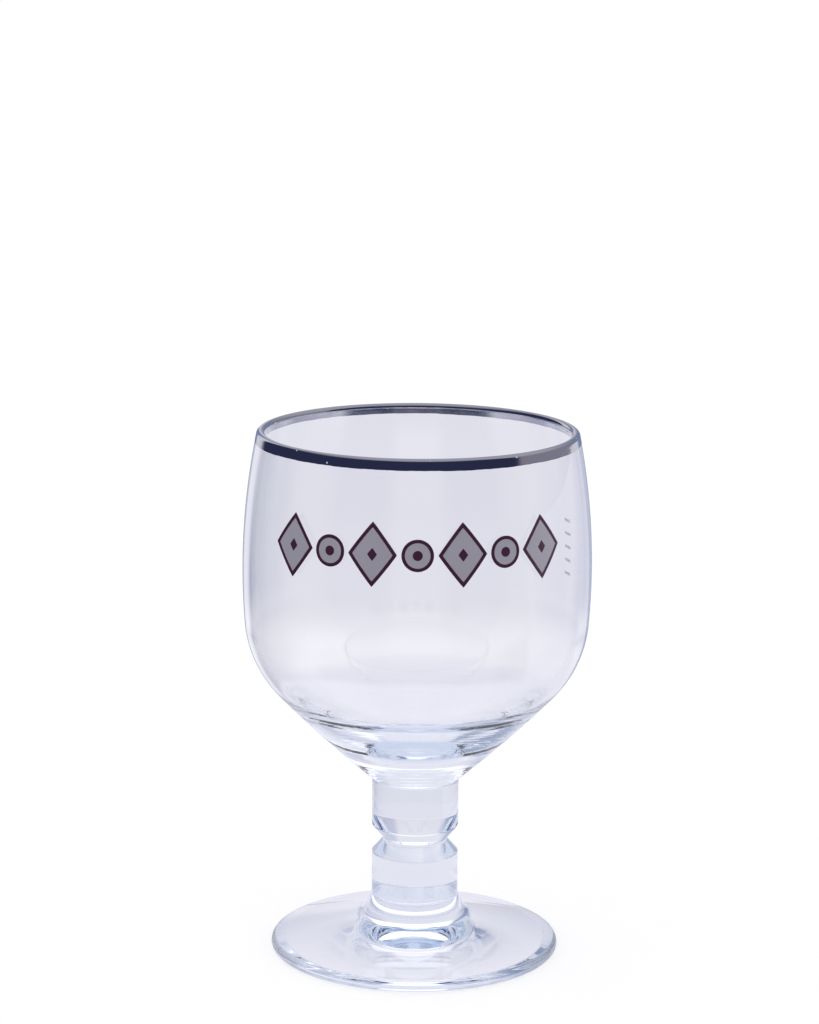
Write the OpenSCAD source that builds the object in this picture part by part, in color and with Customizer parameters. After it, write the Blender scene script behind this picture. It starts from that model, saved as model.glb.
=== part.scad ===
// Chalice beer glass: a bowl, a grooved stem and a disc foot, each a piece of clear
// glass fused to the next at a flat seam, with a metal band on the lip and prints
// on the side. Millimetres, +Z up, origin at the middle of the plane that the foot
// rests on, front towards -Y.

/* [Bowl] */
// Greatest diameter of the bowl
bowl_d = 95; // [88:0.5:102]
// Height of the bowl, from the neck seam to the top of the lip
bowl_h = 97.5; // [91:0.5:104]
// Height above the neck seam at which the bowl is widest
belly_z = 59; // [56:0.5:62]
// Radius of the long upright curve of the side
side_r = 187; // [160:1:240]
// Angle, in degrees, below the widest level at which the shoulder begins
shoulder_turn = 4.4; // [3:0.1:6]
// Radius of the outer shoulder
shoulder_r = 31; // [28:0.5:34]
// Radius of the slight swell of the cone under the shoulder
cone_r = 360; // [250:5:600]
// Thickness of the side wall
wall = 2.2; // [1.6:0.1:3]
// Angle, in degrees, below the widest level at which the hollow's curve begins
hollow_turn = 4.8; // [3.8:0.1:5.8]
// Radius of the hollow's curve
hollow_r = 27.4; // [26:0.1:28.6]
// Height of the middle of the hollow's floor above the neck seam
floor_h = 12.9; // [12.2:0.1:13.6]

/* [Stem] */
// Diameter of the stem
stem_d = 23.8; // [21:0.1:27]
// Height of the cylinder above the groove
upper_h = 13.9; // [10:0.1:18]
// Height of the groove between the two cylinders
groove_h = 6.9; // [5.5:0.1:9]
// Diameter at the bottom of the groove
groove_d = 17.6; // [15:0.1:19.5]
// Height of the groove's bottom above its lower edge
groove_low_h = 3.7; // [3:0.1:4.2]
// Radius at the bottom of the groove
groove_r = 0.8; // [0.5:0.1:1.2]
// Radius of the rounded edge above the groove
groove_edge_r = 1.2; // [0.5:0.1:2]
// Height of the cylinder under the groove
lower_h = 11.8; // [8:0.1:16]
// Depth of the crease round each fused seam
crease = 0.3; // [0.1:0.05:0.5]

/* [Foot] */
// Diameter of the foot
foot_d = 79.5; // [72:0.5:88]
// Height of the foot, up to its seam with the stem
foot_h = 15.7; // [14.5:0.1:17]
// Height of the rounded edge of the foot
edge_h = 3.4; // [3:0.1:4.2]
// Slope of the foot's upper face, in degrees
top_slope = 15; // [12:0.1:16.5]
// Radius of the curve between the foot's upper face and the cone under the stem
flare_r = 4.5; // [3:0.1:6]
// Angle between that cone's side and the upright, in degrees
flare_lean = 23; // [19:0.1:27]
// Width of the flat ring that the glass stands on
rest_w = 3; // [2:0.1:5]
// Rise of the shallow dish under the foot
kick_h = 3.8; // [2.4:0.1:4.6]

/* [Rim band] */
// Depth of the metal band on the outside of the lip
band_out = 2.9; // [2:0.1:5]
// Depth of the metal band on the inside of the lip
band_in = 1.3; // [0.8:0.1:2.5]
// Thickness of the metal
band_t = 0.06; // [0.04:0.01:0.1]

/* [Print] */
// Thickness of the enamel
print_t = 0.05; // [0.03:0.01:0.1]
// Depth of the middle of the frieze below the top of the lip
frieze_drop = 24.5; // [20:0.5:30]
// Number of lozenges in the frieze, with one roundel between each two
lozenge_count = 4; // [2:1:5]
// Distance along the glass from one motif to the next
motif_pitch = 12; // [11.5:0.1:13]
// Width of a lozenge
lozenge_w = 13; // [10:0.1:14]
// Height of a lozenge
lozenge_h = 17; // [13:0.1:19]
// Diameter of a roundel
roundel_d = 8.4; // [6:0.1:9]
// Width of the dark line round each motif
line_w = 0.9; // [0.5:0.05:1.2]
// Width of the dark pip in the middle of a motif
pip_w = 2.6; // [1.6:0.1:3]
// Height of the middle of the level marks above the widest level of the bowl
mark_rise = 3; // [0:0.5:8]
// Direction of the level marks, in degrees from the front towards +X
mark_angle = 111; // [100:1:150]
// Number of level marks
mark_count = 5; // [2:1:6]
// Distance from one level mark to the next
mark_pitch = 3.8; // [3:0.1:4.5]
// Length of a level mark
mark_w = 4.2; // [3:0.1:6]
// Height of a level mark
mark_h = 0.8; // [0.5:0.1:1.2]

/* [Hidden] */
$fn = 96;
// Overrun of every cutting solid
over = 1;
glass_tint = [0.82, 0.86, 0.92];
stem_r = stem_d / 2;
bowl_r = bowl_d / 2;
foot_r = foot_d / 2;

// Steps along each kind of arc
side_steps = 16;
turn_steps = 12;
lip_steps = 12;
flare_steps = 14;

// Foot: its edge is a half round, and the curve at the bottom of its cone touches the
// upper face and the cone
edge_r = edge_h / 2;
edge_c = [foot_r - edge_r, edge_r];
slope_side = [sin(top_slope), cos(top_slope)];
cone_side = [cos(flare_lean), sin(flare_lean)];
cone_top = [stem_r, foot_h - crease];
flare_c = between(slope_side, slope_side * (edge_c + edge_r * slope_side) + flare_r,
                  cone_side, cone_side * cone_top + flare_r);
rest_r = edge_c.x - rest_w;
kick_r = (rest_r * rest_r + kick_h * kick_h) / (2 * kick_h);
kick_half = asin(rest_r / kick_r);

// Stem: levels above its own lower seam
stem_h = lower_h + groove_h + upper_h;
neck_z = foot_h + stem_h;
groove_bottom = [groove_d / 2 + groove_r, lower_h + groove_low_h];

// Bowl: arcs that touch, measured from the neck seam. Inside, the side keeps the wall's
// thickness, the hollow's curve touches it, and the floor is a dish that touches the curve
side_c = [bowl_r - side_r, belly_z];
shoulder_c = side_c + (side_r - shoulder_r) * [cos(shoulder_turn), -sin(shoulder_turn)];
neck_edge = [stem_r - crease, 0];
neck_side = [stem_r, crease];
cone_c = meet(neck_side, cone_r, shoulder_c, cone_r - shoulder_r);
hollow_c = on(side_c, side_r - wall - hollow_r, -hollow_turn);
floor_to_hollow = hollow_c - [0, floor_h];
floor_r = (floor_to_hollow * floor_to_hollow - hollow_r * hollow_r)
    / (2 * (floor_to_hollow.y - hollow_r));
floor_c = [0, floor_h + floor_r];
lip_r = wall / 2;
lip_turn = asin((bowl_h - lip_r - belly_z) / (side_r - lip_r));
lip_c = on(side_c, side_r - lip_r, lip_turn);
band_low = asin((bowl_h - band_out - belly_z) / side_r);
band_low_in = asin((bowl_h - band_in - belly_z) / (side_r - wall));
pip_h = pip_w * lozenge_h / lozenge_w;

// Point at angle a on the circle of centre c and radius r
function on(c, r, a) = c + r * [cos(a), sin(a)];
// Points along that circle from angle a to angle b, in n steps
function arc(c, r, a, b, n) = [for (i = [0:n]) on(c, r, a + (b - a) * i / n)];
// Direction from p to q, in degrees
function heading(p, q) = atan2(q.y - p.y, q.x - p.x);
function reversed(list) = [for (i = [len(list) - 1:-1:0]) list[i]];
// The one of two circles' crossings that lies to the left of the way from p to q
function meet(p, rp, q, rq) =
    let (gap = norm(q - p),
         way = (q - p) / gap,
         along = (rp * rp - rq * rq + gap * gap) / (2 * gap),
         aside = sqrt(rp * rp - along * along))
    p + along * way + aside * [-way.y, way.x];

// Point that lies p along direction u and q along direction v
function between(u, p, v, q) =
    [p * v.y - q * u.y, q * u.x - p * v.x] / (u.x * v.y - u.y * v.x);

// Upright stretch of the side from angle a, at radius r about the side's centre
function side(r, a) = arc(side_c, r, a, lip_turn, side_steps);

bowl_outside = concat(
    [neck_edge],
    arc(cone_c, cone_r, heading(cone_c, neck_side), heading(cone_c, shoulder_c), turn_steps),
    arc(shoulder_c, shoulder_r, heading(cone_c, shoulder_c), -shoulder_turn, turn_steps),
    side(side_r, -shoulder_turn));
bowl_inside = concat(
    arc(floor_c, floor_r, -90, heading(floor_c, hollow_c), turn_steps),
    arc(hollow_c, hollow_r, heading(floor_c, hollow_c), -hollow_turn, turn_steps),
    side(side_r - wall, -hollow_turn));

module bowl_section() {
    polygon(concat(
        [[0, 0]], bowl_outside,
        arc(lip_c, lip_r, lip_turn, lip_turn + 180, lip_steps),
        reversed(bowl_inside)));
}

module bowl() {
    color(glass_tint)
        translate([0, 0, neck_z])
            rotate_extrude() bowl_section();
}

module stem() {
    low_edge = [stem_r, lower_h];
    // The groove's round bottom and the rounded edge above it touch its two straight flanks
    low_flank = heading(groove_bottom, low_edge) - asin(groove_r / norm(low_edge - groove_bottom));
    brow_c = [stem_r - groove_edge_r, lower_h + groove_h + groove_edge_r];
    high_flank = heading(groove_bottom, brow_c)
        + acos((groove_r + groove_edge_r) / norm(brow_c - groove_bottom));
    color(glass_tint)
        translate([0, 0, foot_h])
            rotate_extrude()
                polygon(concat(
                    [[0, 0], [stem_r - crease, 0], [stem_r, crease], low_edge],
                    arc(groove_bottom, groove_r, low_flank - 90, high_flank - 360, turn_steps),
                    arc(brow_c, groove_edge_r, high_flank - 180, 0, turn_steps),
                    [[stem_r, stem_h - crease], [stem_r - crease, stem_h], [0, stem_h]]));
}

module foot() {
    color(glass_tint)
        rotate_extrude()
            polygon(concat(
                arc([0, kick_h - kick_r], kick_r, 90, 90 - kick_half, turn_steps),
                arc(edge_c, edge_r, -90, 90 - top_slope, flare_steps),
                arc(flare_c, flare_r, 270 - top_slope, 180 + flare_lean, flare_steps),
                [cone_top, [stem_r - crease, foot_h], [0, foot_h]]));
}

module rim_band() {
    color([0.55, 0.56, 0.6])
        translate([0, 0, neck_z])
            rotate_extrude()
                difference() {
                    polygon(concat(
                        arc(side_c, side_r + band_t, band_low, lip_turn, turn_steps),
                        arc(lip_c, lip_r + band_t, lip_turn, lip_turn + 180, lip_steps),
                        arc(side_c, side_r - wall - band_t, lip_turn, band_low_in, turn_steps)));
                    bowl_section();
                }
}

// Thin coat of enamel over the whole upright side, which the prints are cut from
module coat() {
    rotate_extrude()
        polygon(concat(side(side_r, -shoulder_turn),
                       reversed(side(side_r + print_t, -shoulder_turn))));
}

// A flat motif printed on the side of the bowl, at an angle from the front
module print(turn, z) {
    intersection() {
        coat();
        rotate([0, 0, turn])
            translate([0, 0, z])
                rotate([90, 0, 0])
                    linear_extrude(height = bowl_r + over)
                        children();
    }
}

module lozenge(w, h) {
    polygon([[w / 2, 0], [0, h / 2], [-w / 2, 0], [0, -h / 2]]);
}

// Lozenge drawn in by the same distance on every side
module inner_lozenge(w, h, inset) {
    slant = norm([w, h]);
    lozenge(w - 2 * inset * slant / h, h - 2 * inset * slant / w);
}

// Every motif of the frieze in turn: lozenges at even places, roundels at odd ones
module frieze() {
    last = 2 * (lozenge_count - 1);
    for (i = [0:last])
        print((i - last / 2) * motif_pitch / bowl_r * 180 / PI, bowl_h - frieze_drop)
            children(i % 2);
}

// The pale field and the dark lines of the two motifs
module lozenge_field() {
    difference() {
        inner_lozenge(lozenge_w, lozenge_h, line_w);
        lozenge(pip_w, pip_h);
    }
}

module lozenge_lines() {
    difference() {
        lozenge(lozenge_w, lozenge_h);
        inner_lozenge(lozenge_w, lozenge_h, line_w);
    }
    lozenge(pip_w, pip_h);
}

module roundel_field() {
    difference() {
        circle(d = roundel_d - 2 * line_w);
        circle(d = pip_w);
    }
}

module roundel_lines() {
    difference() {
        circle(d = roundel_d);
        circle(d = roundel_d - 2 * line_w);
    }
    circle(d = pip_w);
}

module print_fill() {
    color([0.55, 0.53, 0.56])
        translate([0, 0, neck_z])
            frieze() {
                lozenge_field();
                roundel_field();
            }
}

module print_outline() {
    color([0.3, 0.14, 0.24])
        translate([0, 0, neck_z])
            frieze() {
                lozenge_lines();
                roundel_lines();
            }
}

module level_marks() {
    color([0.75, 0.76, 0.8])
        translate([0, 0, neck_z])
            for (i = [0:mark_count - 1])
                print(mark_angle, belly_z + mark_rise + (i - (mark_count - 1) / 2) * mark_pitch)
                    square([mark_w, mark_h], center = true);
}

bowl();
stem();
foot();
rim_band();
print_fill();
print_outline();
level_marks();
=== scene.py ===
"""Looks of a clear chalice beer glass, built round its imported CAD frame.

Every length in this file is in metres, and MM is one millimetre. Every piece is a
surface of revolution or a patch that lies on one, worked out as whole numpy arrays.
"""

import logging
import math
from dataclasses import dataclass, field
from enum import Enum
from typing import Any

import bpy
import numpy as np
from mathutils import Matrix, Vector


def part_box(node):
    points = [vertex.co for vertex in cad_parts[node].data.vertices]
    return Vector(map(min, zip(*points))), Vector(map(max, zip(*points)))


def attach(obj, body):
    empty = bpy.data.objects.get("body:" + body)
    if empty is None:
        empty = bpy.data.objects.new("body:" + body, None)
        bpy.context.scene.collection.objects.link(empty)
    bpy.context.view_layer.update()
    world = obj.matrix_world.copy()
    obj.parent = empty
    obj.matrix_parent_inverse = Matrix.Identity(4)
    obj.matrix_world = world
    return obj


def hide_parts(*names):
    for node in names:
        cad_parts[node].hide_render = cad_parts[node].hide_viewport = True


log = logging.getLogger("chalice")

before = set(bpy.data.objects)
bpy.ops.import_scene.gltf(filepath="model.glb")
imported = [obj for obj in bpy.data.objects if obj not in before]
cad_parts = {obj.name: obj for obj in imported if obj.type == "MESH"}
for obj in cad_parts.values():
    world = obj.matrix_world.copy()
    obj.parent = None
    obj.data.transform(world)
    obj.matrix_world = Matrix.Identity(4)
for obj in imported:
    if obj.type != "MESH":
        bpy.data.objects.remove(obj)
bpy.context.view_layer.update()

MM = 0.001
NEAR_ZERO = 1e-9
Points = np.ndarray
Piece = bpy.types.Object
Material = bpy.types.Material
Socket = bpy.types.NodeSocket
Triple = tuple[float, float, float]
Color = Triple
Pair = tuple[float, float]
Range = Pair
WHITE: Color = (1.0, 1.0, 1.0)

# A face is part of a seam if it lies this near the seam's level and its normal is this upright.
SEAM_GAP, SEAM_FACING = 0.001 * MM, 0.999
# Radius of the rounding beside a seam, and the steps in its quarter circle.
CREASE, CREASE_STEPS = 0.3 * MM, 6
# Edges sharper than these angles, in degrees, aren't shaded smooth.
GLASS_SHARP, METAL_SHARP, PRINT_SHARP = 50, 60, 40


# Curves and surfaces

def on_circle(centre: Points, radius: float, angle: Points) -> Points:
    """Returns points at the given angles, in degrees, on a circle in the (r, z) plane.

    The formula is the centre plus the radius times (cosine, sine) of the angle.
    """
    turn = np.radians(angle)
    return np.asarray(centre) + radius * np.stack([np.cos(turn), np.sin(turn)], axis=-1)


def arc(centre: Points, radius: float, start: float, stop: float, step: float) -> Points:
    """Returns an arc from start to stop, in degrees, as three or more points about step apart.

    Args:
        centre: Centre of the circle, as (r, z).
        radius: Radius of the circle.
        start: First angle, in degrees from the r axis.
        stop: Last angle, in degrees.
        step: Wanted distance between neighbouring points.
    """
    length = abs(math.radians(stop - start)) * radius
    count = max(3, int(math.ceil(length / step)) + 1)
    return on_circle(centre, radius, np.linspace(start, stop, count))


def line(start: Points, stop: Points, step: float) -> Points:
    """Returns a straight run from start to stop as points about step apart."""
    start, stop = np.asarray(start, float), np.asarray(stop, float)
    count = max(2, int(math.ceil(np.linalg.norm(stop - start) / step)) + 1)
    share = np.linspace(0.0, 1.0, count)[:, None]
    return start + (stop - start) * share


def upright(slope: float) -> Points:
    """Returns the direction square to a line that falls outwards at slope degrees."""
    return np.array([math.sin(math.radians(slope)), math.cos(math.radians(slope))])


def joined(*runs: Points) -> Points:
    """Returns the runs end to end, without the points that repeat where two runs meet."""
    points = np.concatenate([np.atleast_2d(run) for run in runs])
    gaps = np.linalg.norm(np.diff(points, axis=0), axis=1)
    return points[np.concatenate([[True], gaps > NEAR_ZERO])]


def heading(start: Points, stop: Points) -> float:
    """Returns the direction from start to stop, in degrees."""
    return math.degrees(math.atan2(stop[1] - start[1], stop[0] - start[0]))


def circle_meet(p: Points, reach_p: float, q: Points, reach_q: float) -> Points:
    """Returns the crossing of two circles that lies left of the way from p to q.

    The crossing lies along the way by (rp^2 - rq^2 + d^2) / 2d and aside by what is
    left of rp by Pythagoras.
    """
    p, q = np.asarray(p, float), np.asarray(q, float)
    gap = np.linalg.norm(q - p)
    way = (q - p) / gap
    along = (reach_p**2 - reach_q**2 + gap**2) / (2 * gap)
    aside = math.sqrt(reach_p**2 - along**2)
    return p + along * way + aside * np.array([-way[1], way[0]])


def make_mesh(name: str, vertices: Points, faces: list[Any]) -> Piece:
    """Returns a new smooth-shaded object at the origin with these vertices and faces."""
    mesh = bpy.data.meshes.new(name)
    mesh.from_pydata(vertices.tolist(), [], faces)
    mesh.validate()
    mesh.polygons.foreach_set("use_smooth", np.ones(len(mesh.polygons), bool))
    mesh.update()
    piece = bpy.data.objects.new(name, mesh)
    bpy.context.scene.collection.objects.link(piece)
    return piece


def vectors(items: Any, name: str) -> Points:
    """Returns the named vector of every vertex or face of a mesh, one to a row."""
    found = np.empty(len(items) * 3)
    items.foreach_get(name, found)
    return found.reshape(-1, 3)


def grid_faces(rows: int, columns: int) -> Points:
    """Returns the quads of a grid of vertices whose last column joins its first.

    Vertex (i, j) has number i * columns + j.
    """
    i, j = np.meshgrid(np.arange(rows - 1), np.arange(columns), indexing="ij")
    k = (j + 1) % columns
    low, high = i * columns, (i + 1) * columns
    return np.stack([low + j, low + k, high + k, high + j], -1).reshape(-1, 4)


def revolved(name: str, profile: Points, segments: int, closed: bool = False) -> Piece:
    """Returns the surface that a profile sweeps round the Z axis.

    Point (r, z) of the profile goes to (r sin a, -r cos a, z) for each angle a. The
    profile runs up the outside and back down the inside, so the faces point out of
    the solid. Its first and last point lie on the axis, unless it is closed.

    Args:
        name: Name of the new object.
        profile: Points as (r, z).
        segments: Number of steps round the axis.
        closed: Whether the last point joins the first, as on a ring.
    """
    angle = np.arange(segments) * (2 * math.pi / segments)
    rings = profile if closed else profile[1:-1]
    r, z = rings[:, :1], rings[:, 1:]
    vertices = np.stack([r * np.sin(angle), -r * np.cos(angle), z + 0 * angle], -1).reshape(-1, 3)
    count = len(rings)
    if closed:
        return make_mesh(name, vertices, (grid_faces(count + 1, segments) % len(vertices)).tolist())
    faces = grid_faces(count, segments).tolist()
    ring = np.arange(segments)
    top = (count - 1) * segments + ring
    poles = np.array([[0, 0, profile[0, 1]], [0, 0, profile[-1, 1]]])
    low, high = count * segments, count * segments + 1
    faces += np.stack([np.full(segments, low), np.roll(ring, -1), ring], -1).tolist()
    faces += np.stack([np.full(segments, high), top, np.roll(top, -1)], -1).tolist()
    return make_mesh(name, np.concatenate([vertices, poles]), faces)


# Node trees

class Graph:
    """A node tree with short calls that add nodes and link them."""

    def __init__(self, tree: bpy.types.NodeTree) -> None:
        """Takes over a node tree and empties it."""
        self.tree = tree
        tree.nodes.clear()

    def add(self, kind: str, **sockets: Any) -> bpy.types.Node:
        """Returns a new node whose named sockets are set or linked.

        Args:
            kind: The node's class name after "ShaderNode".
            sockets: Values or output sockets by input name, with _ for a space.
        """
        node = self.tree.nodes.new("ShaderNode" + kind)
        for name, value in sockets.items():
            self.feed(node.inputs[name.replace("_", " ")], value)
        return node

    def feed(self, socket: Socket, value: Any) -> None:
        """Sets an input socket to a value, or links it to a socket or to a node's first output."""
        if isinstance(value, bpy.types.Node):
            value = value.outputs[0]
        if isinstance(value, Socket):
            self.tree.links.new(value, socket)
        elif isinstance(value, tuple) and len(value) == 3 and socket.type == "RGBA":
            socket.default_value = (*value, 1.0)
        else:
            socket.default_value = value

    def math(self, operation: str, *values: Any) -> Socket:
        """Returns the result of a Math node on one to three values."""
        node = self.add("Math")
        node.operation = operation
        for socket, value in zip(node.inputs, values):
            self.feed(socket, value)
        return node.outputs[0]

    def product(self, first: Any, *others: Any) -> Socket:
        """Returns the product of two or more numbers."""
        for value in others:
            first = self.math("MULTIPLY", first, value)
        return first

    def between(self, share: Any, ends: Range) -> Socket:
        """Returns the number that goes from the first of ends to the second with share."""
        return self.math("MULTIPLY_ADD", share, ends[1] - ends[0], ends[0])

    def smooth(self, value: Any, low: float, high: float) -> Socket:
        """Returns 0 below low and 1 above high, with a smooth step between."""
        node = self.add("MapRange", From_Min=low, From_Max=high)
        node.interpolation_type = "SMOOTHSTEP"
        self.feed(node.inputs["Value"], value)
        return node.outputs["Result"]

    def fade(self, value: Any, low: float, high: float) -> Socket:
        """Returns 1 below low and 0 above high, with a smooth step between."""
        return self.smooth(value, high, low)

    def band(self, value: Any, rise: Range, fall: Range) -> Socket:
        """Returns 0 below rise, 1 between rise and fall, and 0 again above fall."""
        return self.math("SUBTRACT", self.smooth(value, *rise), self.smooth(value, *fall))

    def mix(self, share: Any, low: Any, high: Any) -> Socket:
        """Returns the colour that goes from low to high with share.

        A Mix node set to colours takes them at inputs 0, 6 and 7, and gives the result at 2.
        """
        node = self.add("Mix")
        node.data_type = "RGBA"
        for socket, value in zip((node.inputs[0], node.inputs[6], node.inputs[7]), (share, low, high)):
            self.feed(socket, value)
        return node.outputs[2]

    def times(self, low: Any, high: Any) -> Socket:
        """Returns the product of two colours."""
        product = self.mix(1.0, low, high)
        product.node.blend_type = "MULTIPLY"
        return product

    def noise(self, scale: float, detail: float, stretch: Triple = (1.0, 1.0, 1.0)) -> Socket:
        """Returns noise on Object coordinates, about scale waves to the metre."""
        place = self.add("TexCoord").outputs["Object"]
        mapped = self.add("Mapping", Vector=place, Scale=stretch)
        node = self.add("TexNoise", Vector=mapped, Scale=scale, Detail=detail)
        return node.outputs["Fac"]

    def bump(self, height: Any, depth: float, strength: float) -> Socket:
        """Returns a normal tilted by a height map whose 1 is depth metres."""
        return self.add("Bump", Height=height, Distance=depth, Strength=strength).outputs[0]

    def finish(self, shader: Any, kind: str = "OutputMaterial") -> bpy.types.Node:
        """Sends a shader to the tree's output, and returns the output node."""
        return self.add(kind, Surface=shader)


def new_material(name: str) -> tuple[Material, Graph]:
    """Returns a new material and its empty node tree."""
    made = bpy.data.materials.new(name)
    made.use_nodes = True
    return made, Graph(made.node_tree)


# Finishes

@dataclass(frozen=True)
class GlassBody:
    """The inside of the glass, with the faint blue that clear glass has where it is thick."""

    color: Color = (0.72, 0.83, 0.95)
    density: float = 5.5

    def fill(self, g: Graph, output: bpy.types.Node) -> None:
        """Gives the inside to the material that ends in this output node."""
        body = g.add("VolumeAbsorption", Color=self.color, Density=self.density)
        g.feed(output.inputs["Volume"], body)


@dataclass(frozen=True)
class ClearGlass:
    """Polished soda-lime glass."""

    tint: Color = WHITE
    ior: float = 1.52
    body: GlassBody = GlassBody()

    def material(self) -> Material:
        """Returns the glass as a material."""
        made, g = new_material("clear_glass")
        shader = g.add(
            "BsdfPrincipled", Base_Color=self.tint, IOR=self.ior, Transmission_Weight=1.0,
            Roughness=0.0)
        self.body.fill(g, g.finish(shader))
        return made


@dataclass(frozen=True)
class FusedSeam:
    """Glass that runs on through a fused seam, so that the seam's face bends no light."""

    body: GlassBody = GlassBody()

    def material(self) -> Material:
        """Returns a face that light passes unchanged."""
        made, g = new_material("fused_seam")
        self.body.fill(g, g.finish(g.add("BsdfTransparent", Color=WHITE)))
        return made


@dataclass(frozen=True)
class RimMetal:
    """Fired metal film: a mirror with fine brush marks and worn specks."""

    color: Color = (0.62, 0.62, 0.66)
    worn: Color = (0.85, 0.85, 0.90)
    specks: float = 260.0
    speck_edge: Range = (0.055, 0.085)
    brush: float = 160.0
    brush_detail: float = 3.0
    brush_stretch: Triple = (1.0, 1.0, 6.0)
    brush_depth: float = 0.1 * MM
    brush_strength: float = 0.15
    rough: Range = (0.04, 0.16)

    def material(self) -> Material:
        """Returns the metal film as a material."""
        made, g = new_material("rim_metal")
        place = g.add("TexCoord").outputs["Object"]
        spots = g.add("TexVoronoi", Vector=place, Scale=self.specks).outputs["Distance"]
        whole = g.smooth(spots, *self.speck_edge)
        film = g.noise(self.brush, self.brush_detail, self.brush_stretch)
        shader = g.add(
            "BsdfPrincipled", Metallic=whole, Base_Color=g.mix(whole, self.worn, self.color),
            Roughness=g.between(film, self.rough),
            Normal=g.bump(film, self.brush_depth, self.brush_strength))
        g.finish(shader)
        return made


@dataclass(frozen=True)
class Enamel:
    """Fired enamel print: a thin coat with a faint grain and cloud.

    Its cover is 1 where it hides the glass, and less where the glass shows through.
    """

    name: str
    color: Color
    cover: float = 1.0
    spread: float = 0.12
    grain: float = 2600.0
    grain_detail: float = 3.0
    grain_share: float = 0.6
    grain_depth: float = 0.03 * MM
    grain_strength: float = 0.5
    cloud: float = 140.0
    cloud_detail: float = 2.0
    rough: Range = (0.3, 0.5)

    def material(self) -> Material:
        """Returns the enamel as a material."""
        made, g = new_material(self.name)
        grain = g.noise(self.grain, self.grain_detail)
        cloud = g.noise(self.cloud, self.cloud_detail)
        dark = tuple(c * (1 - self.spread) for c in self.color)
        pale = tuple(min(1.0, c * (1 + self.spread)) for c in self.color)
        tone = g.math(
            "ADD", g.product(grain, self.grain_share), g.product(cloud, 1 - self.grain_share))
        shader = g.add(
            "BsdfPrincipled", Base_Color=g.mix(tone, dark, pale),
            Roughness=g.between(grain, self.rough),
            Normal=g.bump(grain, self.grain_depth, self.grain_strength), Alpha=self.cover)
        g.finish(shader)
        return made


# The glass pieces

def node_radius(node: str) -> float:
    """Returns the radius of a round CAD node, from the wider side of its box."""
    low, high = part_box(node)
    return max(high.x - low.x, high.y - low.y) / 2


@dataclass
class Foot:
    """The disc that the glass stands on, with its flare up to the stem."""

    glass: Material
    seam: Material
    edge_h: float = 3.4 * MM
    top_slope: float = 15.0
    flare_r: float = 4.5 * MM
    flare_lean: float = 23.0
    rest_w: float = 3.0 * MM
    kick_h: float = 3.8 * MM
    step: float = 0.35 * MM
    segments: int = 320
    radius: float = field(init=False)
    stem_r: float = field(init=False)
    top: float = field(init=False)

    def __post_init__(self) -> None:
        """Takes the foot's own size from the frame."""
        self.radius, self.stem_r = node_radius("foot"), node_radius("stem")
        self.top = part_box("foot")[1].z

    def profile(self) -> Points:
        """Returns the outline from the middle of the underside out and up to the seam."""
        edge_r = self.edge_h / 2
        edge_c = np.array([self.radius - edge_r, edge_r])
        rest_r = edge_c[0] - self.rest_w
        kick_r = (rest_r**2 + self.kick_h**2) / (2 * self.kick_h)
        half = math.degrees(math.asin(rest_r / kick_r))
        rise = upright(self.top_slope)
        crown = edge_c + edge_r * rise
        lean = math.radians(self.flare_lean)
        out = np.array([math.cos(lean), math.sin(lean)])
        collar = np.array([self.stem_r, self.top - CREASE])
        flare_c = np.linalg.solve(
            np.stack([out, rise]), np.array([out @ collar, rise @ crown]) + self.flare_r)
        return joined(
            arc([0, self.kick_h - kick_r], kick_r, 90, 90 - half, self.step),
            line([rest_r, 0], [edge_c[0], 0], self.step),
            arc(edge_c, edge_r, -90, 90 - self.top_slope, self.step / 2),
            line(crown, flare_c - self.flare_r * rise, self.step),
            arc(flare_c, self.flare_r, 270 - self.top_slope, 180 + self.flare_lean, self.step / 2),
            line(flare_c - self.flare_r * out, collar, self.step),
            seam_edge(self.stem_r, self.top, True),
            [[0, self.top]])

    def build(self) -> Piece:
        """Returns the finished foot."""
        piece = revolved("foot_glass", self.profile(), self.segments)
        return dress_glass(piece, self.glass, self.seam, [self.top], "foot")


def seam_edge(radius: float, level: float, upper: bool) -> Points:
    """Returns the rounded edge beside a seam, a quarter circle of the crease's radius.

    Args:
        radius: Radius of the wall that the edge rounds off.
        level: Height of the seam's flat face.
        upper: Whether the seam closes the top of the piece.
    """
    start, middle = (0, level - CREASE) if upper else (-90, level + CREASE)
    return arc([radius - CREASE, middle], CREASE, start, start + 90, CREASE / CREASE_STEPS)


def dress_glass(piece: Piece, glass: Material, seam: Material, levels: list[float], node: str) -> Piece:
    """Gives a glass piece its materials and its place in the frame.

    Args:
        piece: The closed glass mesh.
        glass: Material of its outside.
        seam: Material of the flat faces at fused seams.
        levels: Heights of those flat faces.
        node: The CAD node that the piece stands for.
    """
    mesh = piece.data
    mesh.materials.append(glass)
    mesh.materials.append(seam)
    height = vectors(mesh.polygons, "center")[:, 2]
    facing = np.abs(vectors(mesh.polygons, "normal")[:, 2])
    flat = np.zeros(len(height), np.int32)
    for level in levels:
        flat |= (np.abs(height - level) < SEAM_GAP) & (facing > SEAM_FACING)
    mesh.polygons.foreach_set("material_index", flat)
    mesh.set_sharp_from_angle(angle=math.radians(GLASS_SHARP))
    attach(piece, "root")
    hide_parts(node)
    return piece


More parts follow.
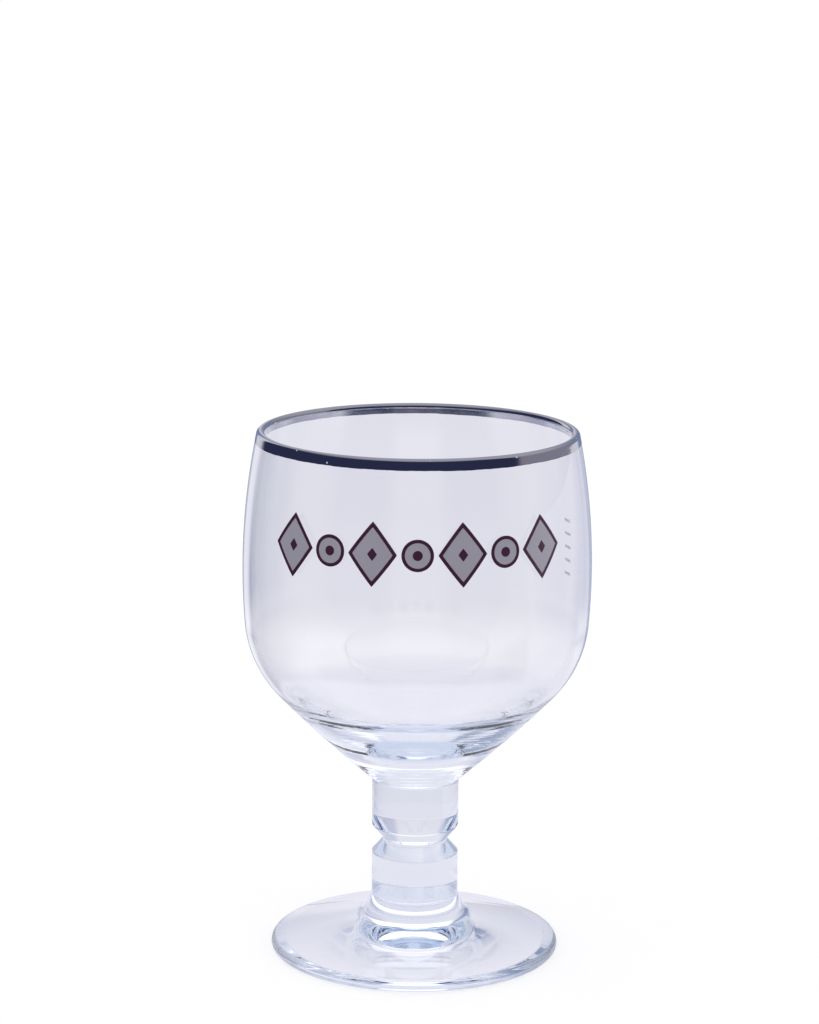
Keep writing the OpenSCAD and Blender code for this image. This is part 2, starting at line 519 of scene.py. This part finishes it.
@dataclass
class Stem:
    """The solid stem, two cylinders with a turned groove between them."""

    glass: Material
    seam: Material
    upper_h: float = 13.9 * MM
    groove_h: float = 6.9 * MM
    groove_d: float = 17.6 * MM
    groove_low_h: float = 3.7 * MM
    groove_r: float = 0.8 * MM
    groove_edge_r: float = 1.2 * MM
    step: float = 0.4 * MM
    segments: int = 256
    radius: float = field(init=False)
    low: float = field(init=False)
    top: float = field(init=False)

    def __post_init__(self) -> None:
        """Takes the stem's own size from the frame."""
        low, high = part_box("stem")
        self.radius = node_radius("stem")
        self.low, self.top = low.z, high.z

    def profile(self) -> Points:
        """Returns the outline from the foot's seam up to the neck's seam.

        The groove's round bottom and its round upper edge touch the two straight
        flanks: a flank leaves a circle where the radius is square to it.
        """
        brow_z = self.top - self.upper_h
        edge_z = brow_z - self.groove_h
        bottom = np.array([self.groove_d / 2 + self.groove_r, edge_z + self.groove_low_h])
        low_edge = np.array([self.radius, edge_z])
        reach = np.linalg.norm(low_edge - bottom)
        low_flank = heading(bottom, low_edge) - math.degrees(math.asin(self.groove_r / reach))
        brow_c = np.array([self.radius - self.groove_edge_r, brow_z + self.groove_edge_r])
        reach = np.linalg.norm(brow_c - bottom)
        high_flank = heading(bottom, brow_c) + math.degrees(
            math.acos((self.groove_r + self.groove_edge_r) / reach))
        low_touch = on_circle(bottom, self.groove_r, low_flank - 90)
        high_touch = on_circle(bottom, self.groove_r, high_flank)
        brow_touch = on_circle(brow_c, self.groove_edge_r, high_flank - 180)
        fine = self.step / 5
        return joined(
            [[0, self.low]],
            seam_edge(self.radius, self.low, False),
            line([self.radius, self.low + CREASE], low_edge, self.step),
            line(low_edge, low_touch, self.step),
            arc(bottom, self.groove_r, low_flank - 90, high_flank - 360, fine),
            line(high_touch, brow_touch, self.step),
            arc(brow_c, self.groove_edge_r, high_flank - 180, 0, fine),
            line([self.radius, brow_c[1]], [self.radius, self.top - CREASE], self.step),
            seam_edge(self.radius, self.top, True),
            [[0, self.top]])

    def build(self) -> Piece:
        """Returns the finished stem."""
        piece = revolved("stem_glass", self.profile(), self.segments)
        return dress_glass(piece, self.glass, self.seam, [self.low, self.top], "stem")


@dataclass
class BowlShape:
    """The arcs of the bowl, which the glass, the rim band and the prints all follow."""

    belly_z: float = 59.0 * MM
    side_r: float = 187.0 * MM
    shoulder_turn: float = 4.4
    shoulder_r: float = 31.0 * MM
    cone_r: float = 360.0 * MM
    wall: float = 2.2 * MM
    hollow_turn: float = 4.8
    hollow_r: float = 27.4 * MM
    floor_z: float = 12.9 * MM
    lip_steps: int = 10
    neck: float = field(init=False)
    stem_r: float = field(init=False)
    height: float = field(init=False)

    def __post_init__(self) -> None:
        """Takes the bowl's own size from the frame and works out where its arcs touch."""
        low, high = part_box("bowl")
        self.neck, self.height = low.z, high.z - low.z
        self.stem_r = node_radius("stem")
        self.side_c = np.array([node_radius("bowl") - self.side_r, self.neck + self.belly_z])
        self.shoulder_c = on_circle(self.side_c, self.side_r - self.shoulder_r, -self.shoulder_turn)
        self.neck_side = np.array([self.stem_r, self.neck + CREASE])
        self.cone_c = circle_meet(
            self.neck_side, self.cone_r, self.shoulder_c, self.cone_r - self.shoulder_r)
        inward = self.side_r - self.wall - self.hollow_r
        self.hollow_c = on_circle(self.side_c, inward, -self.hollow_turn)
        floor = self.neck + self.floor_z
        rise = self.hollow_c[1] - floor
        squares = self.hollow_c[0] ** 2 + rise**2 - self.hollow_r**2
        self.floor_r = squares / (2 * (rise - self.hollow_r))
        self.floor_c = np.array([0, floor + self.floor_r])
        self.lip_r = self.wall / 2
        self.lip_step = self.lip_r / self.lip_steps
        lift = self.height - self.lip_r - self.belly_z
        self.lip_turn = math.degrees(math.asin(lift / (self.side_r - self.lip_r)))
        self.lip_c = on_circle(self.side_c, self.side_r - self.lip_r, self.lip_turn)

    def turn_at(self, z: float, inset: float = 0.0) -> float:
        """Returns the side arc's angle, in degrees, at height z on a face set in by inset."""
        return math.degrees(math.asin((z - self.side_c[1]) / (self.side_r - inset)))

    def radius_at(self, z: Points) -> Points:
        """Returns the side's outer radius at height z.

        It is the r of its arc's centre plus the root of side_r^2 - dz^2.
        """
        return self.side_c[0] + np.sqrt(self.side_r**2 - (z - self.side_c[1]) ** 2)


@dataclass
class Bowl:
    """The bowl, whose thick bottom runs down to the neck's seam."""

    shape: BowlShape
    glass: Material
    seam: Material
    step: float = 0.85 * MM
    ripple: float = 0.013 * MM
    ripple_pitch: float = 2.6 * MM
    segments: int = 320

    def rippled(self, run: Points) -> Points:
        """Returns the cone's run with the faint rings that pressing leaves in thick glass.

        Each point moves square to the run by ripple * sin(2 pi way / ripple_pitch), and
        sin(pi share) fades the rings out towards both ends of the run.
        """
        steps = np.diff(run, axis=0)
        way = np.concatenate([[0.0], np.cumsum(np.linalg.norm(steps, axis=1))])
        aside = np.gradient(run, axis=0)[:, ::-1] * np.array([1.0, -1.0])
        aside /= np.linalg.norm(aside, axis=1)[:, None]
        wave = np.sin(2 * math.pi * way / self.ripple_pitch) * np.sin(math.pi * way / way[-1])
        return run + aside * (self.ripple * wave)[:, None]

    def profile(self) -> Points:
        """Returns the outline up the outside, over the lip and down the inside to the floor."""
        s = self.shape
        cone, floor = heading(s.cone_c, s.shoulder_c), heading(s.floor_c, s.hollow_c)
        return joined(
            [[0, s.neck]],
            seam_edge(s.stem_r, s.neck, False),
            self.rippled(arc(s.cone_c, s.cone_r, heading(s.cone_c, s.neck_side), cone, self.step / 2)),
            arc(s.shoulder_c, s.shoulder_r, cone, -s.shoulder_turn, self.step),
            arc(s.side_c, s.side_r, -s.shoulder_turn, s.lip_turn, self.step * 2),
            arc(s.lip_c, s.lip_r, s.lip_turn, s.lip_turn + 180, s.lip_step),
            arc(s.side_c, s.side_r - s.wall, s.lip_turn, -s.hollow_turn, self.step * 2),
            arc(s.hollow_c, s.hollow_r, -s.hollow_turn, floor, self.step),
            arc(s.floor_c, s.floor_r, floor, -90, self.step))

    def build(self) -> Piece:
        """Returns the finished bowl."""
        piece = revolved("bowl_glass", self.profile(), self.segments)
        return dress_glass(piece, self.glass, self.seam, [self.shape.neck], "bowl")


@dataclass
class RimBand:
    """The metal film over the lip, with the slightly uneven lower edge of a brushed line."""

    shape: BowlShape
    metal: Material
    depth_out: float = 2.9 * MM
    depth_in: float = 1.3 * MM
    lift: float = 0.006 * MM
    thickness: float = 0.06 * MM
    fray_h: float = 1.0 * MM
    uneven: float = 0.14 * MM
    waves: tuple[tuple[int, float], ...] = ((3, 0.30), (8, 0.25), (19, 0.20), (47, 0.15), (113, 0.10))
    step: float = 0.12 * MM
    segments: int = 900

    def profile(self) -> Points:
        """Returns the closed outline, up outside, over the lip, down inside and back by the glass."""
        s = self.shape
        top = s.neck + s.height
        low = s.turn_at(top - self.depth_out)
        low_in = s.turn_at(top - self.depth_in, s.wall)

        def face(lift: float) -> Points:
            """Returns the way from the outer edge over the lip to the inner edge, off the glass."""
            return joined(
                arc(s.side_c, s.side_r + lift, low, s.lip_turn, self.step),
                arc(s.lip_c, s.lip_r + lift, s.lip_turn, s.lip_turn + 180, s.lip_step),
                arc(s.side_c, s.side_r - s.wall - lift, s.lip_turn, low_in, self.step))

        return np.concatenate([face(self.thickness), face(self.lift)[::-1]])

    def fray(self, mesh: bpy.types.Mesh) -> None:
        """Makes the outer lower edge uneven, as a brushed line is.

        A vertex at height z moves up or down by uneven * share * wave, where share falls
        from 1 at the edge to 0 at fray_h above it, and wave is a sum of sines round the
        glass, each with its own count of turns and part. The vertex keeps its distance
        from the glass by moving in or out with the glass's own radius.
        """
        s = self.shape
        places = vectors(mesh.vertices, "co")
        radius, height = np.hypot(places[:, 0], places[:, 1]), places[:, 2]
        angle = np.arctan2(places[:, 0], -places[:, 1])
        outer = radius > s.radius_at(height) - s.wall / 2
        share = np.clip(1 - (height - height[outer].min()) / self.fray_h, 0, 1) * outer
        wave = sum(part * np.sin(turns * angle + turns) for turns, part in self.waves)
        moved = height + self.uneven * share * wave
        radius_now = radius + s.radius_at(moved) - s.radius_at(height)
        places[:, :2] *= (radius_now / radius)[:, None]
        places[:, 2] = moved
        mesh.vertices.foreach_set("co", places.ravel())
        mesh.update()

    def build(self) -> Piece:
        """Returns the finished band."""
        piece = revolved("rim_band_metal", self.profile(), self.segments, closed=True)
        self.fray(piece.data)
        piece.data.materials.append(self.metal)
        piece.data.set_sharp_from_angle(angle=math.radians(METAL_SHARP))
        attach(piece, "root")
        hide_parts("rim_band")
        return piece


# The prints

class Motif(Enum):
    """The two motifs of the frieze."""

    LOZENGE = "lozenge"
    ROUNDEL = "roundel"


def around(count: int) -> Points:
    """Returns count evenly spaced directions, as (cosine, sine)."""
    turn = np.arange(count) * (2 * math.pi / count)
    return np.stack([np.cos(turn), np.sin(turn)], -1)


def lozenge_loop(half: Points, corner: float, count: int) -> Points:
    """Returns the closed outline of an upright lozenge, or of a bar with rounded corners.

    Along direction (c, s) an ellipse-like norm |c/a|^p + |s/b|^p = 1 with p a little
    over 1 gives a lozenge with straight sides and soft corners, and a large p a bar.

    Args:
        half: Half the width and half the height.
        corner: How far p lies above 1.
        count: Number of points.
    """
    way = around(count)
    norm = (np.abs(way / half) ** (1 + corner)).sum(-1) ** (1 / (1 + corner))
    return way / norm[:, None]


@dataclass
class Coat:
    """Vertices and faces of thin coats on the side of the bowl, gathered patch by patch."""

    shape: BowlShape
    thickness: float = 0.045 * MM
    sink: float = 0.012 * MM
    pinprick: float = 0.02
    vertices: list[Points] = field(default_factory=list)
    faces: list[list[int]] = field(default_factory=list)

    def on_glass(self, flat: Points, turn: float, z: float, lift: float) -> Points:
        """Returns flat points as they lie on the bowl, pushed straight in from the front.

        A point (u, v) goes to height z + v. There the glass has radius R, so the point
        lies at depth sqrt(R^2 - u^2) along the motif's direction, and u across it.

        Args:
            flat: Points as (u, v) in the motif's own plane.
            turn: The motif's direction, in degrees from the front.
            z: Height of the motif's middle.
            lift: Distance off the glass.
        """
        u, height = flat[..., 0], z + flat[..., 1]
        radius = self.shape.radius_at(height) + lift
        depth = np.sqrt(radius**2 - u**2)
        c, s = math.cos(math.radians(turn)), math.sin(math.radians(turn))
        return np.stack([depth * s + u * c, -depth * c + u * s, height], -1)

    def ring(self, outer: Points, inner: Points, turn: float, z: float, rows: int) -> None:
        """Adds the coat between two loops of equally many points.

        Row k lies the share k / rows of the way in. The top sheet runs in, the
        bottom sheet runs out again below it, and the two close round both edges.
        """
        share = np.linspace(0, 1, rows + 1)[:, None, None]
        flat = outer + (inner - outer) * share
        top = self.on_glass(flat, turn, z, self.thickness)
        low = self.on_glass(flat[::-1], turn, z, -self.sink)
        grid = np.concatenate([top, low])
        count = len(outer)
        start = sum(len(part) for part in self.vertices)
        quads = grid_faces(len(grid) + 1, count) % (len(grid) * count)
        self.vertices.append(grid.reshape(-1, 3))
        self.faces += (quads[:, ::-1] + start).tolist()

    def disc(self, loop: Points, turn: float, z: float, rows: int) -> None:
        """Adds the coat inside a loop, down to a pinprick in its middle."""
        self.ring(loop, loop * self.pinprick, turn, z, rows)

    def build(self, name: str, material: Material, node: str, slot: str) -> Piece:
        """Returns the gathered coats as one object in the frame."""
        piece = make_mesh(name, np.concatenate(self.vertices), self.faces)
        piece.data.materials.append(material)
        piece.data.set_sharp_from_angle(angle=math.radians(PRINT_SHARP))
        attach(piece, "root")
        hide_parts(node)
        return piece


@dataclass
class Frieze:
    """The printed frieze of lozenges and roundels, and the level marks beside it."""

    shape: BowlShape
    drop: float = 24.5 * MM
    lozenges: int = 4
    pitch: float = 12.0 * MM
    lozenge: Pair = (13.0 * MM, 17.0 * MM)
    corner: float = 0.045
    roundel: float = 8.4 * MM
    line_w: float = 0.9 * MM
    pip_w: float = 2.6 * MM
    mark_rise: float = 3.0 * MM
    mark_turn: float = 111.0
    marks: int = 5
    mark_pitch: float = 3.8 * MM
    mark: Pair = (4.2 * MM, 0.8 * MM)
    mark_corner: float = 11.0
    mark_points: int = 64
    points: int = 192
    line_rows: int = 2
    disc_rows: int = 4
    field_rows: int = 14
    field_thickness: float = 0.035 * MM
    field_edges: Pair = (1.004, 0.99)

    def places(self) -> list[tuple[Motif, float]]:
        """Returns each motif with its direction in degrees from the front."""
        s = self.shape
        last = 2 * (self.lozenges - 1)
        step = math.degrees(self.pitch / (s.side_c[0] + s.side_r))
        kinds = (Motif.LOZENGE, Motif.ROUNDEL)
        return [(kinds[i % 2], (i - last / 2) * step) for i in range(last + 1)]

    def loops(self, kind: Motif) -> tuple[Points, Points, Points]:
        """Returns a motif's outer edge, the inner edge of its line and the edge of its pip."""
        if kind is Motif.ROUNDEL:
            sizes = (self.roundel / 2, self.roundel / 2 - self.line_w, self.pip_w / 2)
            return tuple(around(self.points) * size for size in sizes)
        half = np.array(self.lozenge) / 2
        slant = math.hypot(*self.lozenge)
        inset = self.line_w * slant / np.array(self.lozenge)[::-1]
        pip = np.array([1.0, self.lozenge[1] / self.lozenge[0]]) * self.pip_w / 2
        return tuple(lozenge_loop(size, self.corner, self.points) for size in (half, half - inset, pip))

    def build(self, lines: Material, fill: Material, pale: Material) -> list[Piece]:
        """Returns the dark lines, the grey fields and the level marks."""
        s = self.shape
        z = s.neck + s.height - self.drop
        dark, grey, level = Coat(s), Coat(s, thickness=self.field_thickness), Coat(s)
        outward, inward = self.field_edges
        for kind, turn in self.places():
            outer, inner, pip = self.loops(kind)
            dark.ring(outer, inner, turn, z, self.line_rows)
            dark.disc(pip, turn, z, self.disc_rows)
            grey.ring(inner * outward, pip * inward, turn, z, self.field_rows)
        for i in range(self.marks):
            rise = self.mark_rise + (i - (self.marks - 1) / 2) * self.mark_pitch
            bar = lozenge_loop(np.array(self.mark) / 2, self.mark_corner, self.mark_points)
            level.disc(bar, self.mark_turn, s.side_c[1] + rise, self.disc_rows)
        return [
            dark.build("frieze_lines", lines, "print_outline", "dark_enamel"),
            grey.build("frieze_fields", fill, "print_fill", "grey_enamel"),
            level.build("level_marks_print", pale, "level_marks", "pale_enamel"),
        ]


# The studio

@dataclass(frozen=True)
class Strip:
    """An upright strip of the room, in degrees round the glass.

    Its middle lies turn degrees from straight behind the glass, to the right. The strip
    is whole up to full degrees from its middle, and gone past none degrees.
    """

    turn: float
    full: float
    none: float


class Bearing:
    """Where light comes from, as seen from above, and its way there, as values in a node tree."""

    def __init__(self, g: Graph, x: Any, y: Any) -> None:
        """Takes x to the right and y to the back, and works out reach, sine and cosine.

        The reach is the root of x^2 + y^2. Over it, x gives the sine and y the cosine
        of the angle from straight behind the glass. For the light, passed is 1 if glass
        let it through last, and mirrored is 1 if it was mirrored at least once.
        """
        path = g.add("LightPath").outputs
        self.camera, self.diffuse = path["Is Camera Ray"], path["Is Diffuse Ray"]
        self.passed = path["Is Transmission Ray"]
        self.mirrored = g.math("MINIMUM", path["Glossy Depth"], 1.0)
        self.g, self.x, self.y = g, x, y
        squares = g.math("ADD", g.product(x, x), g.math("MULTIPLY_ADD", y, y, NEAR_ZERO))
        self.reach = g.math("SQRT", squares)
        self.sine = g.math("DIVIDE", x, self.reach)
        self.minus_sine = g.product(self.sine, -1.0)
        self.cosine = g.math("DIVIDE", y, self.reach)

    def toward(self, turn: float) -> Socket:
        """Returns the cosine of the angle to the direction turn degrees from the back, to the right."""
        right, behind = math.sin(math.radians(turn)), math.cos(math.radians(turn))
        along = self.g.math("MULTIPLY_ADD", self.x, right, self.g.product(self.y, behind))
        return self.g.math("DIVIDE", along, self.reach)

    def strip(self, strip: Strip) -> Socket:
        """Returns 1 in a strip of the room and 0 beside it."""
        none, full = math.cos(math.radians(strip.none)), math.cos(math.radians(strip.full))
        return self.g.smooth(self.toward(strip.turn), none, full)


@dataclass(frozen=True)
class Room:
    """What the glass and the metal show of the room, by the way that a place lies from the glass.

    A range is where a part begins or ends. It is in metres from the axis if its name
    says reach, the cosine of the angle to the lit side's middle if it says lit, a part
    of the direction itself if it says x or z, and else a sine or cosine of the angle
    from straight behind the glass.
    """

    # The sweep of floor and walls, from painted shade near the glass over its palest part, a painted
    # pool of light, to far away.
    near_shade: Color = (0.80, 0.80, 0.90)
    light_pool: Color = (0.99, 0.98, 1.02)
    light_pool_reach: Range = (0.16, 0.40)
    far: Color = (0.80, 0.795, 0.875)
    far_reach: Range = (0.30, 0.46)

    # The ceiling as seen through glass and as mirrored, the light on matt faces, the walls' end.
    ceiling: Color = (1.35, 1.35, 1.42)
    canopy: Color = (0.48, 0.48, 0.54)
    ambient: Color = (0.9, 0.9, 0.95)
    edge_z: Range = (0.60, 0.25)
    edge_lit: Range = (-0.1, 0.6)
    edge_blur: float = 0.38

    # The dark side in front, as mirrored, and the lit side behind, which is darker at its right.
    dark: Color = (0.030, 0.036, 0.085)
    lit_turn: float = 32.5
    lit_world: Range = (0.26, 0.34)
    lit_floor: Range = (0.22, 0.38)
    apron_reach: Range = (0.12, 0.14)
    side: Color = (0.29, 0.28, 0.35)
    side_x: Range = (-0.2, 0.2)

    # Two strips behind the glass, as mirrored, which draw its outline.
    brink: Color = (0.22, 0.28, 0.44)
    brink_start: Range = (0.12, 0.18)
    right_brink_end: Range = (0.44, 0.54)
    left_brink_end: Range = (0.34, 0.42)
    brink_behind: Range = (0.0, 0.1)
    brink_reach: Range = (0.17, 0.24)

    # The dimmer backdrop at the right and left, as seen through glass.
    right_wing: Color = (0.72, 0.73, 0.82)
    right_wing_start: Range = (0.26, 0.42)
    left_wing: Color = (0.76, 0.77, 0.86)
    left_wing_start: Range = (0.42, 0.62)
    wing_end: Range = (0.80, 0.96)
    wing_reach: Range = (0.28, 0.42)

    # The dimmer floor at both sides, as seen through glass.
    flank: Color = (0.62, 0.63, 0.74)
    flank_reach: Range = (0.18, 0.30)
    flank_cosine: Range = (0.45, 0.75)
    flank_ease_reach: Range = (0.38, 0.52)
    flank_rest: float = 0.3

    # Two strips in front, from dark near by to pale, for mirrored light that comes through glass.
    flags: tuple[Strip, Strip] = (Strip(-137.0, 14.0, 30.0), Strip(137.0, 14.0, 30.0))
    flag_reach: Range = (0.12, 0.16)
    shade: Color = (0.17, 0.24, 0.40)
    shade_reach: Range = (0.19, 0.26)
    haze: Color = (0.46, 0.52, 0.64)
    haze_reach: Range = (0.34, 0.50)

    # Painted shade: a dark patch on the floor just in front, for the same light.
    hearth: Strip = Strip(180.0, 36.0, 52.0)
    hearth_start_reach: Range = (0.11, 0.14)
    hearth_end_reach: Range = (0.19, 0.23)

    # A strip at the left, as seen through glass.
    dusk: Color = (0.20, 0.27, 0.42)
    dusk_strip: Strip = Strip(-62.0, 12.0, 30.0)
    dusk_reach: Range = (0.36, 0.50)

    def in_flags(self, at: Bearing) -> Socket:
        """Returns 1 in the two dark strips in front of the glass, for light that was mirrored."""
        return at.g.product(at.g.math("MAXIMUM", *(at.strip(flag) for flag in self.flags)), at.mirrored)

    def winged(self, at: Bearing, color: Any) -> Socket:
        """Returns a colour of the backdrop, dimmed at the right and left of the glass."""
        g = at.g
        right = g.mix(g.band(at.sine, self.right_wing_start, self.wing_end), WHITE, self.right_wing)
        left = g.mix(g.band(at.minus_sine, self.left_wing_start, self.wing_end), WHITE, self.left_wing)
        return g.times(g.times(right, left), color)

    def brinked(self, at: Bearing, color: Any) -> Socket:
        """Returns a mirrored colour with the two strips behind the glass."""
        g = at.g
        right = g.band(at.sine, self.brink_start, self.right_brink_end)
        left = g.band(at.minus_sine, self.brink_start, self.left_brink_end)
        behind = g.smooth(at.cosine, *self.brink_behind)
        return g.mix(g.product(g.math("ADD", right, left), behind), color, self.brink)

    def sky(self, at: Bearing, z: Any) -> Socket:
        """Returns the room's colour above the floor, in direction (x, y, z).

        The walls stand up to a height that is lower on the lit side, and above it is
        the ceiling.
        """
        g = at.g
        side = g.mix(g.smooth(at.x, *self.side_x), self.far, self.side)
        lit = g.smooth(at.toward(self.lit_turn), *self.lit_world)
        mirrored = self.brinked(at, g.mix(lit, self.dark, side))
        passed = g.mix(self.in_flags(at), self.winged(at, self.far), self.haze)
        passed = g.mix(at.strip(self.dusk_strip), passed, self.dusk)
        walls = g.mix(at.passed, mirrored, passed)
        above = g.mix(at.passed, self.canopy, self.ceiling)
        edge = g.between(g.smooth(at.toward(self.lit_turn), *self.edge_lit), self.edge_z)
        return g.mix(g.smooth(g.math("SUBTRACT", z, edge), 0.0, self.edge_blur), walls, above)

    def ground(self, at: Bearing) -> Socket:
        """Returns the floor's colour to the light that the glass and the metal send on, with painted
        shade near the glass and a painted pool of light round it.
        """
        g = at.g
        # Painted shade on the floor near the glass, a painted pool of light round it, then the far
        # floor.
        sweep = g.mix(g.smooth(at.reach, *self.light_pool_reach), self.near_shade, self.light_pool)
        sweep = g.mix(g.smooth(at.reach, *self.far_reach), sweep, self.far)
        return g.mix(at.passed, self.ground_mirrored(at, sweep), self.ground_passed(at, sweep))

    def ground_mirrored(self, at: Bearing, sweep: Any) -> Socket:
        """Returns the floor's colour as it is mirrored: the sweep on the lit side, dark on the other."""
        g = at.g
        lit = g.smooth(at.toward(self.lit_turn), *self.lit_floor)
        lit = g.math("MAXIMUM", lit, g.fade(at.reach, *self.apron_reach))
        strips = g.mix(g.smooth(at.reach, *self.brink_reach), sweep, self.brinked(at, sweep))
        return g.mix(lit, self.dark, strips)

    def ground_passed(self, at: Bearing, sweep: Any) -> Socket:
        """Returns the floor's colour as it is seen through glass: the sweep with soft darker parts."""
        g = at.g
        seen = g.mix(g.smooth(at.reach, *self.wing_reach), sweep, self.winged(at, sweep))
        flank = g.product(
            g.smooth(at.reach, *self.flank_reach), g.fade(at.cosine, *self.flank_cosine),
            g.between(g.smooth(at.reach, *self.flank_ease_reach), (1.0, self.flank_rest)))
        seen = g.mix(flank, seen, g.times(seen, self.flank))
        flag = g.mix(g.smooth(at.reach, *self.shade_reach), self.dark, self.shade)
        flag = g.mix(g.smooth(at.reach, *self.haze_reach), flag, self.haze)
        flags = g.product(self.in_flags(at), g.smooth(at.reach, *self.flag_reach))
        seen = g.mix(flags, seen, flag)
        dusk = g.product(at.strip(self.dusk_strip), g.smooth(at.reach, *self.dusk_reach))
        seen = g.mix(dusk, seen, self.dusk)
        # Painted shade on the floor just in front, only for light that was mirrored.
        hearth = g.band(at.reach, self.hearth_start_reach, self.hearth_end_reach)
        return g.mix(g.product(at.strip(self.hearth), hearth, at.mirrored), seen, self.dark)


@dataclass(frozen=True)
class View:
    """The camera, placed as the photograph's outline says.

    Its focal length and sensor are in millimetres, as Blender counts them. It looks
    pitch radians below level, and is turned by roll degrees about its own axis.
    """

    place: Triple = (-2.2 * MM, -836.4 * MM, 295.85 * MM)
    pitch: float = 0.20365
    roll: float = 0.45
    focal: float = 110.67
    sensor: float = 36.0
    clip: Range = (0.05, 50.0)

    def build(self) -> Piece:
        """Returns the camera, set as the scene's own."""
        lens = bpy.data.cameras.new("camera")
        lens.sensor_fit = "VERTICAL"
        lens.sensor_height = self.sensor
        lens.lens = self.focal
        lens.clip_start, lens.clip_end = self.clip
        piece = bpy.data.objects.new("camera", lens)
        bpy.context.scene.collection.objects.link(piece)
        pitch = Matrix.Rotation(math.radians(90) - self.pitch, 4, "X")
        roll = Matrix.Rotation(math.radians(self.roll), 4, "Z")
        piece.matrix_world = Matrix.Translation(self.place) @ pitch @ roll
        bpy.context.scene.camera = piece
        return piece


@dataclass
class Studio:
    """A white floor and world to the camera, and a room of soft tones to the glass and the metal."""

    room: Room = Room()
    view: View = View()
    floor_size: float = 6.0
    floor_gap: float = 0.1 * MM
    paper: Color = (0.35, 0.35, 0.35)
    glow: float = 0.74
    bounces: int = 32
    mirror_bounces: int = 16

    def world(self) -> None:
        """Lights the scene: white to the camera, and the room to the light off glass and metal."""
        world = bpy.data.worlds.new("studio")
        bpy.context.scene.world = world
        world.use_nodes = True
        g = Graph(world.node_tree)
        x, y, z = g.add("SeparateXYZ", Vector=g.add("TexCoord").outputs["Generated"]).outputs
        at = Bearing(g, x, y)
        seen = g.mix(at.diffuse, self.room.sky(at, z), self.room.ambient)
        seen = g.mix(at.camera, seen, WHITE)
        g.finish(g.add("Background", Color=seen, Strength=1.0), "OutputWorld")

    def floor(self) -> Piece:
        """Returns the floor, a wide plane just under the foot's rest ring.

        The camera sees it as pale paper with a glow that keeps the glass's soft shadow, and everything
        else sees it glow with the room's ground, its painted shade and painted pool of light included.
        """
        half, low = self.floor_size / 2, -self.floor_gap
        corners = np.array([[x * half, y * half, low] for x, y in ((-1, -1), (1, -1), (1, 1), (-1, 1))])
        piece = make_mesh("studio_floor", corners, [[0, 1, 2, 3]])
        made, g = new_material("studio_floor")
        x, y, _ = g.add("SeparateXYZ", Vector=g.add("TexCoord").outputs["Object"]).outputs
        at = Bearing(g, x, y)
        # The floor's glow for all but the camera: the room's ground with its painted shade and painted
        # light.
        sent = g.add("Emission", Color=self.room.ground(at), Strength=1.0)
        paper = g.add("BsdfDiffuse", Color=self.paper)
        glow = g.add("Emission", Color=WHITE, Strength=self.glow)
        shown = g.add("AddShader")
        shader = g.add("MixShader", Fac=at.camera)
        for socket, source in zip((*shown.inputs, *shader.inputs[1:]), (paper, glow, sent, shown)):
            g.feed(socket, source)
        g.finish(shader)
        piece.data.materials.append(made)
        return piece

    def build(self) -> None:
        """Sets up the whole studio and the way the render treats glass."""
        scene = bpy.context.scene
        scene.view_settings.view_transform = "Standard"
        cycles = scene.cycles
        cycles.max_bounces = cycles.transmission_bounces = self.bounces
        cycles.transparent_max_bounces = self.bounces
        cycles.glossy_bounces = self.mirror_bounces
        cycles.use_denoising = True
        self.world()
        self.floor()
        self.view.build()


DARK_ENAMEL = Enamel("dark_enamel", (0.078, 0.018, 0.050))
GREY_ENAMEL = Enamel("grey_enamel", (0.51, 0.48, 0.54))
PALE_ENAMEL = Enamel("pale_enamel", (0.86, 0.86, 0.92), cover=0.5)


def main() -> None:
    """Builds every piece, dresses it and sets up the studio."""
    logging.basicConfig(level=logging.INFO, format="%(name)s: %(message)s")
    glass = ClearGlass().material()
    seam = FusedSeam().material()
    metal = RimMetal().material()
    coats = (enamel.material() for enamel in (DARK_ENAMEL, GREY_ENAMEL, PALE_ENAMEL))
    shape = BowlShape()
    pieces = [
        Foot(glass, seam).build(),
        Stem(glass, seam).build(),
        Bowl(shape, glass, seam).build(),
        RimBand(shape, metal).build(),
        *Frieze(shape).build(*coats),
    ]
    for piece in pieces:
        log.info("%s has %d faces", piece.name, len(piece.data.polygons))
    Studio().build()


if __name__ == "__main__":
    main()
